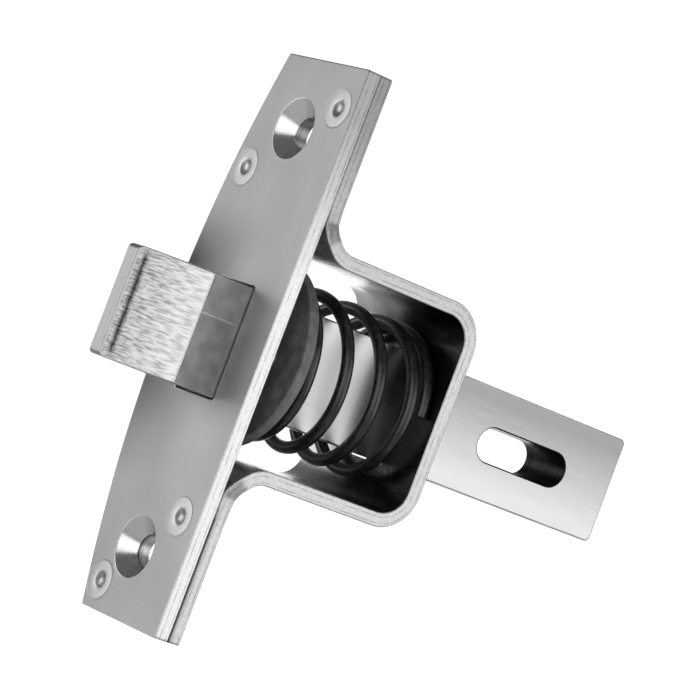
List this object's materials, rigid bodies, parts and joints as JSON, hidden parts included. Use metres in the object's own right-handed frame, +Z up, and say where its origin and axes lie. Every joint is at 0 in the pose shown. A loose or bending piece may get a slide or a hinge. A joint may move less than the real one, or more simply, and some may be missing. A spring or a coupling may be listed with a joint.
{
  "type": "spring latch bolt",
  "caption": "Spring-loaded slam latch: a bevelled flat bolt with a slotted tail runs through a bowed faceplate and a riveted hat-shaped housing, pushed out by a coil spring.",
  "frame": {"origin": "centre of the two-screw pattern, on the bolt's axis, at the front face of the faceplate", "axes": "+X the way the bolt head comes out, +Y towards the bevel and the plate's straight edge, +Z up along the faceplate"},
  "size_m": [0.1278, 0.04, 0.12],
  "materials": {
    "faceplate_steel": "satin, faintly mottled",
    "housing_steel": "satin, bright sheared edges",
    "bolt_steel": "ground, striated along its length",
    "washer_steel": "dark mottled oxide",
    "pin_steel": "satin",
    "spring_black": "glossy black",
    "rivet_steel": "satin, pressed flush"
  },
  "bodies": {
    "case": {"face_plate": "faceplate_steel", "spring_housing": "housing_steel", "coil_spring": "spring_black", "rivet_upper_straight_side": "rivet_steel", "rivet_upper_bowed_side": "rivet_steel", "rivet_lower_straight_side": "rivet_steel", "rivet_lower_bowed_side": "rivet_steel"},
    "bolt": {"latch_bolt": "bolt_steel", "thrust_washer": "washer_steel", "retaining_pin": "pin_steel"}
  },
  "joints": [
    {"name": "bolt_slide", "type": "slide", "parent": "case", "child": "bolt", "axis": [-1, 0, 0], "range_m": [0, 0.021], "stiffness_N_per_m": 4200, "springref_m": -0.008, "deforming": ["coil_spring"]}
  ]
}
